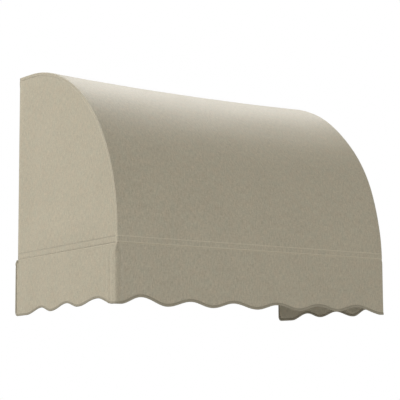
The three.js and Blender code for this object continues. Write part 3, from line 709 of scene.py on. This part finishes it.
thread = thread_finish("seam_thread", (0.58, 0.53, 0.41, 1), (0.74, 0.68, 0.54, 1))
rows = []
for z, front_run in zip(stitch_rows_z, seam_runs):
    spread = np.linspace(-wrap_edge + 0.001, wrap_edge - 0.001, 500)
    line = cover_place(spread, np.full(500, front_run))
    rows.append(stitches(line, np.tile([0.0, -1.0, 0.0], (500, 1)), 0.0009))
    for side in (-1, 1):
        y = np.linspace(rear_y - 0.004, front_y + 0.0115, 300)
        line = np.stack([np.full(300, side * (panel_x + 0.00035)), y, np.full(300, z)], -1)
        rows.append(stitches(line, np.tile([side * 1.0, 0.0, 0.0], (300, 1)), 0.0009))
hem_stitches = stitch_object("hem_stitches", rows)
rows = []
for side in (-1, 1):
    row_run = np.linspace(0.016, hem_run - 0.002, 500)
    _, _, normal_y, normal_z = side_curve(row_run)
    line = cover_place(np.full(500, side * seam_row), row_run)
    rows.append(stitches(line, np.stack([np.zeros(500), normal_y, normal_z], -1), 0.0008))
    line = cover_place(np.full(500, side * (wrap_edge + arc + 0.0068)), row_run)
    rows.append(stitches(line, np.tile([side * 1.0, 0.0, 0.0], (500, 1)), 0.0008))
side_seam_stitches = stitch_object("side_seam_stitches", rows)
rows = []
for face in (-1, 1):
    line = tape_place(np.array([0.0048]), np.array([face * 0.0012]))[6:-2, 0]
    _, _, normal_x, normal_y = round_corner(path_s[6:-2], valance_inset)
    outward = np.stack([normal_x, normal_y, np.zeros(len(normal_x))], -1) * face
    rows.append(stitches(line, outward, 0.0007, 0.0030, 0.0010))
tape_stitches = stitch_object("tape_stitches", rows)
dark_thread = thread_finish("tape_thread", (0.24, 0.212, 0.155, 1), (0.36, 0.32, 0.235, 1))
for piece, finish in ((hem_stitches, thread), (side_seam_stitches, thread), (tape_stitches, dark_thread)):
    piece.data.materials.append(finish)
    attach(piece, "root")


# Frame tubes. Extruded aluminium, 19 mm square with a 1.5 mm wall and eased corners, mill finish. The two
# bows are bent to the cover's curve, and the rest are straight lengths between the corner connectors.
def tube_section():
    """Outline of a 19 mm square with 1.8 mm corner arcs, and of its 16 mm bore with 0.5 mm arcs."""
    rings = []
    for half, arc_radius in ((0.0095, 0.0018), (0.008, 0.0005)):
        turn = np.linspace(0, math.pi / 2, 5)
        corner = np.stack([np.cos(turn), np.sin(turn)], -1) * arc_radius + half - arc_radius
        ring = []
        for quarter in range(4):
            c, s = math.cos(quarter * math.pi / 2), math.sin(quarter * math.pi / 2)
            ring.append(corner @ np.array([[c, s], [-s, c]]))
        rings.append(np.concatenate(ring))
    return rings


def tube_object(name, path, across_tube, up_tube):
    """The section carried along a path of points, across and up giving its two directions at each point.
    The outer skin, the bore and a flat ring at each end make one closed wall."""
    outer, bore = tube_section()
    count, sides = len(path), len(outer)
    skins = []
    for ring in (outer, bore):
        sideways, upwards = ring[None, :, 0:1], ring[None, :, 1:2]
        skins.append(path[:, None] + across_tube[:, None] * sideways + up_tube[:, None] * upwards)
    points = np.concatenate([skin.reshape(-1, 3) for skin in skins])
    grid = np.arange(2 * count * sides).reshape(2, count, sides)
    after = np.roll(grid, -1, axis=2)
    out_quads = np.stack([grid[0, :-1], after[0, :-1], after[0, 1:], grid[0, 1:]], -1).reshape(-1, 4)
    bore_quads = np.stack([grid[1, :-1], grid[1, 1:], after[1, 1:], after[1, :-1]], -1).reshape(-1, 4)
    near = np.stack([grid[0, 0], grid[1, 0], after[1, 0], after[0, 0]], -1)
    far = np.stack([grid[0, -1], after[0, -1], after[1, -1], grid[1, -1]], -1)
    quads = np.concatenate([out_quads, bore_quads, near, far])
    travelled = np.concatenate([[0], np.cumsum(np.linalg.norm(np.diff(path, axis=0), axis=1))])
    cloth = np.stack(np.meshgrid(travelled, np.arange(sides) * 0.0035, indexing="ij"), -1).reshape(-1, 2)
    cloth = np.concatenate([cloth, cloth])
    mesh = bpy.data.meshes.new(name)
    mesh.from_pydata(points, [], quads.tolist())
    lay_cloth(mesh, cloth)
    whole = bmesh.new()
    whole.from_mesh(mesh)
    bmesh.ops.recalc_face_normals(whole, faces=whole.faces)
    whole.to_mesh(mesh)
    whole.free()
    mesh.shade_smooth()
    mesh.set_sharp_from_angle(angle=math.radians(40))
    return shown(name, mesh)


def aluminium_finish(name):
    """Mill-finish aluminium: long die lines along the tube, cloudy handling marks, faint oxide spots."""
    finish = Finish(name, Metallic=1.0)
    place = finish.node("ShaderNodeUVMap", {"uv_map": "cloth"})
    lines = finish.stretched(place, (3, 2400, 1), 2)
    smear = finish.stretched(place, (22, 60, 1), 3)
    spots = finish.stretched(place, (420, 420, 1), 2)
    tone = smear * 0.6 + lines * 0.4
    finish.feed("Base Color", finish.mixed(tone, (0.56, 0.57, 0.58, 1), (0.80, 0.81, 0.82, 1)))
    finish.feed("Roughness", 0.26 + lines * 0.16 + smear * 0.1 + spots * 0.06)
    finish.bumped(lines * 0.7 + spots * 0.3, 0.15, 0.0002)
    return finish.material


aluminium = aluminium_finish("mill_aluminium")
tube_nodes = ["header_rail", "front_rail", "post_left", "post_right", "arm_left", "arm_right"]
for node in tube_nodes:
    low, high_corner = (np.array(corner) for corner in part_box(node))
    middle = (low + high_corner) / 2
    axis = int(np.argmax(high_corner - low))
    path = np.tile(middle, (24, 1))
    path[:, axis] = np.linspace(low[axis], high_corner[axis], 24)
    sideways, upwards = np.zeros((24, 3)), np.zeros((24, 3))
    sideways[:, (axis + 1) % 3] = 1
    upwards[:, (axis + 2) % 3] = 1
    tube = tube_object(f"{node}_tube", path, sideways, upwards)
    tube.data.materials.append(aluminium)
    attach(tube, "root")
    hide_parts(node)
# the middle of each bow's tube lies 12.7 mm inside the cover's outer face
bow_depth = 0.0127
bow_run = np.linspace(0.0215, bend_end - 0.0137, 140)
bow_y, bow_z, bow_ny, bow_nz = side_curve(bow_run)
for label, side in (("left", -1), ("right", 1)):
    low, high_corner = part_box(f"bow_{label}")
    bow_x = (low.x + high_corner.x) / 2
    under = bow_depth - racked(side * half_width, bow_run)
    path = np.stack([np.full(140, bow_x), bow_y - bow_ny * under, bow_z - bow_nz * under], -1)
    up_tube = np.stack([np.zeros(140), bow_ny, bow_nz], -1)
    bow = tube_object(f"bow_{label}_tube", path, np.tile([1.0, 0.0, 0.0], (140, 1)), up_tube)
    bow.data.materials.append(aluminium)
    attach(bow, "root")
    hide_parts(f"bow_{label}")


# Connectors, brackets, clamp strips and screws. The connectors are moulded in black glass-filled nylon.
# The brackets are pressed 3 mm steel, zinc plated, the strips are flat aluminium, and the screws are
# plated steel. Each keeps its working shape, and its edges are eased.
def eased_copy(node, width, segments):
    """A copy of a working part with its flat faces made whole and its edges rounded by a small bevel."""
    whole = bmesh.new()
    whole.from_mesh(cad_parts[node].data)
    bmesh.ops.remove_doubles(whole, verts=whole.verts, dist=0.00001)
    bmesh.ops.dissolve_limit(whole, angle_limit=math.radians(1), verts=whole.verts, edges=whole.edges)
    mesh = bpy.data.meshes.new(f"{node}_eased")
    whole.to_mesh(mesh)
    whole.free()
    mesh.shade_smooth()
    thing = shown(f"{node}_eased", mesh)
    bevel = thing.modifiers.new("eased edges", "BEVEL")
    bevel.width = width
    bevel.segments = segments
    bevel.limit_method = "ANGLE"
    bevel.angle_limit = math.radians(35)
    bevel.harden_normals = True
    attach(thing, "root")
    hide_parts(node)
    return thing


def nylon_finish(name):
    """Moulded black nylon: a fine spark-eroded grain and dull flow marks."""
    finish = Finish(name, Specular_IOR_Level=0.4)
    place = finish.solid_place()
    grain = finish.stretched(place, (2200, 2200, 2200), 2)
    flow = finish.stretched(place, (90, 90, 90), 3)
    tone = flow * 0.7 + grain * 0.3
    finish.feed("Base Color", finish.mixed(tone, (0.012, 0.012, 0.013, 1), (0.036, 0.036, 0.038, 1)))
    finish.feed("Roughness", 0.42 + grain * 0.2 + flow * 0.12)
    finish.bumped(grain, 0.3, 0.0002)
    return finish.material


def zinc_finish(name):
    """Bright zinc plate: cool and warm clouds in the passivation, duller in places, fine rolling grain and
    small pits."""
    finish = Finish(name, Metallic=1.0)
    place = finish.solid_place()
    clouds = finish.stretched(place, (70, 70, 70), 3, 0.6)
    grain = finish.stretched(place, (300, 300, 2600), 2)
    pits = finish.stretched(place, (900, 900, 900), 2)
    finish.feed("Base Color", finish.mixed(clouds, (0.50, 0.50, 0.47, 1), (0.74, 0.76, 0.79, 1)))
    finish.feed("Roughness", 0.24 + clouds * 0.25 + grain * 0.1)
    finish.bumped(grain * 0.5 + pits * 0.5, 0.2, 0.0002)
    return finish.material


def strip_finish(name):
    """Flat aluminium bar: a fine even grain, and handling marks."""
    finish = Finish(name, Metallic=1.0)
    place = finish.solid_place()
    marks = finish.stretched(place, (35, 35, 35), 3)
    grain = finish.stretched(place, (900, 900, 900), 2)
    finish.feed("Base Color", finish.mixed(marks, (0.55, 0.56, 0.57, 1), (0.78, 0.79, 0.80, 1)))
    finish.feed("Roughness", 0.3 + grain * 0.2 + marks * 0.1)
    finish.bumped(grain, 0.15, 0.0002)
    return finish.material


nylon, zinc, bar = nylon_finish("black_nylon"), zinc_finish("zinc_plate"), strip_finish("flat_bar")
for node in sorted(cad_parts):
    if node.startswith("corner_"):
        piece, finish, slot = eased_copy(node, 0.0009, 3), nylon, "connector_plastic"
    elif node.startswith("bracket_"):
        piece, finish, slot = eased_copy(node, 0.0006, 2), zinc, "bracket_zinc"
    elif node.startswith("clamp_strip_"):
        piece, finish, slot = eased_copy(node, 0.0004, 2), bar, "strip_aluminium"
    elif node.startswith("screw_"):
        piece, finish, slot = eased_copy(node, 0.0002, 2), zinc, "screw_zinc"
    else:
        continue
    piece.data.materials.clear()
    piece.data.materials.append(finish)


# Tie straps. Polypropylene webbing, 25 mm wide. The tail of each is caught in the double stitching, and
# the strap goes up the inner side of the tube, over it, down behind the cloth, and closes on itself under
# the tube.
def strap_line():
    """Middle line of the strap as distance in from the cover's face and height above the tube's underside:
    straight runs between corner places in millimetres, rounded by a running mean over 1.75 mm."""
    corners = [(3.6, -29), (3.6, -2.6), (5.2, -2.15), (23.4, -1.0)]
    corners = np.array(corners + [(23.4, 20.0), (2.45, 20.0), (2.45, -0.55), (18.0, -0.45)])
    step = np.hypot(*np.diff(corners, axis=0).T)
    travelled = np.concatenate([[0], np.cumsum(step)])
    even = np.linspace(0, travelled[-1], int(travelled[-1] / 0.25))
    line = np.stack([np.interp(even, travelled, corners[:, k]) for k in (0, 1)], -1)
    window = np.ones(7) / 7
    middle = np.stack([np.convolve(np.pad(line[:, k], 3, mode="edge"), window, "valid") for k in (0, 1)], -1)
    return middle[::2] / 1000


strap_path = strap_line()
strap_run = np.concatenate([[0], np.cumsum(np.linalg.norm(np.diff(strap_path, axis=0), axis=1))])
strap_wide = np.linspace(-0.0125, 0.0125, 9)
webbing = tape_finish("webbing", (0.20, 0.18, 0.13, 1), (0.34, 0.305, 0.225, 1), 0.0016)
rail_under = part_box("front_rail")[0].z
straps = [(f"strap_front_{i + 1}", "front", x) for i, x in enumerate((-0.33, 0.0, 0.33))]
for label in ("left", "right"):
    straps += [(f"strap_{label}_{i + 1}", label, y) for i, y in enumerate((-0.2, -0.44))]
for node, place, centre in straps:
    inward, height = (strap_path[:, k][:, None] for k in (0, 1))
    wide = strap_wide[None] + centre
    if place == "front":
        parts = wide, front_y + inward, rail_under + height
    else:
        side = -1 if place == "left" else 1
        parts = side * (half_width - inward), wide, rail_under + height
    points = np.stack(np.broadcast_arrays(*parts), -1)
    cloth = np.stack(np.broadcast_arrays(strap_run[:, None], strap_wide[None]), -1)
    strap = thicken(sheet_object(f"{node}_webbing", points, cloth, flip=place != "left"), 0.0009, 0)
    strap.data.materials.append(webbing)
    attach(strap, "root")
    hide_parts(node)


# Floor, studio light and a plain white surround. The awning hangs well above the floor, as on a wall.
floor_mesh = bpy.data.meshes.new("floor")
floor_corners = [(-7, -7, -1.9), (7, -7, -1.9), (7, 7, -1.9), (-7, 7, -1.9)]
floor_mesh.from_pydata(floor_corners, [], [(0, 1, 2, 3)])
floor = shown("floor", floor_mesh)
pale = Finish("pale_floor", Roughness=0.9)
pale.shader.inputs["Base Color"].default_value = (0.44, 0.44, 0.435, 1)
floor.data.materials.append(pale.material)


# a card in the wall's place keeps the light behind from shining in, and the camera doesn't see it
card_mesh = bpy.data.meshes.new("wall_card")
card_corners = [(-0.512, 0.012, -0.70), (0.512, 0.012, -0.70), (0.512, 0.012, 0.02), (-0.512, 0.012, 0.02)]
card_mesh.from_pydata(card_corners, [], [(0, 1, 2, 3)])
card = shown("wall_card", card_mesh)
card.data.materials.append(pale.material)
card.visible_camera = False


def softbox(name, toward, distance, size, level):
    """A square softbox. toward points from the awning's middle to the light, and level is the brightness
    it gives a white card that faces it, so its power is pi squared times the distance squared times
    level."""
    toward = np.array(toward, float) / np.linalg.norm(toward)
    light = bpy.data.objects.new(name, bpy.data.lights.new(name, "AREA"))
    light.data.shape = "SQUARE"
    light.data.size = size
    light.data.energy = math.pi**2 * distance**2 * level
    aside = np.cross([0.0, 0.0, 1.0] if abs(toward[2]) < 0.95 else [0.0, 1.0, 0.0], toward)
    aside /= np.linalg.norm(aside)
    turned = Matrix(np.column_stack([aside, np.cross(toward, aside), toward])).to_4x4()
    turned.translation = np.array([0.0, -0.3, -0.3]) + toward * distance
    light.matrix_world = turned
    bpy.context.scene.collection.objects.link(light)


softbox("key", (-0.50, 0.50, 0.70), 10.0, 4.6, 1.03)
softbox("back", (0.50, 0.45, 0.74), 8.0, 4.5, 0.18)
softbox("fill", (0.02, -0.99, -0.12), 9.0, 6.0, 0.28)
world = bpy.data.worlds.new("surround")
bpy.context.scene.world = world
world.use_nodes = True
air = world.node_tree
glow = air.nodes["Background"]
glow.inputs["Color"].default_value = (1, 1, 1, 1)
glow.inputs["Strength"].default_value = 0.46
paper = air.nodes.new("ShaderNodeBackground")
paper.inputs["Color"].default_value = (1, 1, 1, 1)
ray = air.nodes.new("ShaderNodeLightPath")
either = air.nodes.new("ShaderNodeMixShader")
air.links.new(ray.outputs["Is Camera Ray"], either.inputs[0])
air.links.new(glow.outputs[0], either.inputs[1])
air.links.new(paper.outputs[0], either.inputs[2])
air.links.new(either.outputs[0], air.nodes["World Output"].inputs["Surface"])
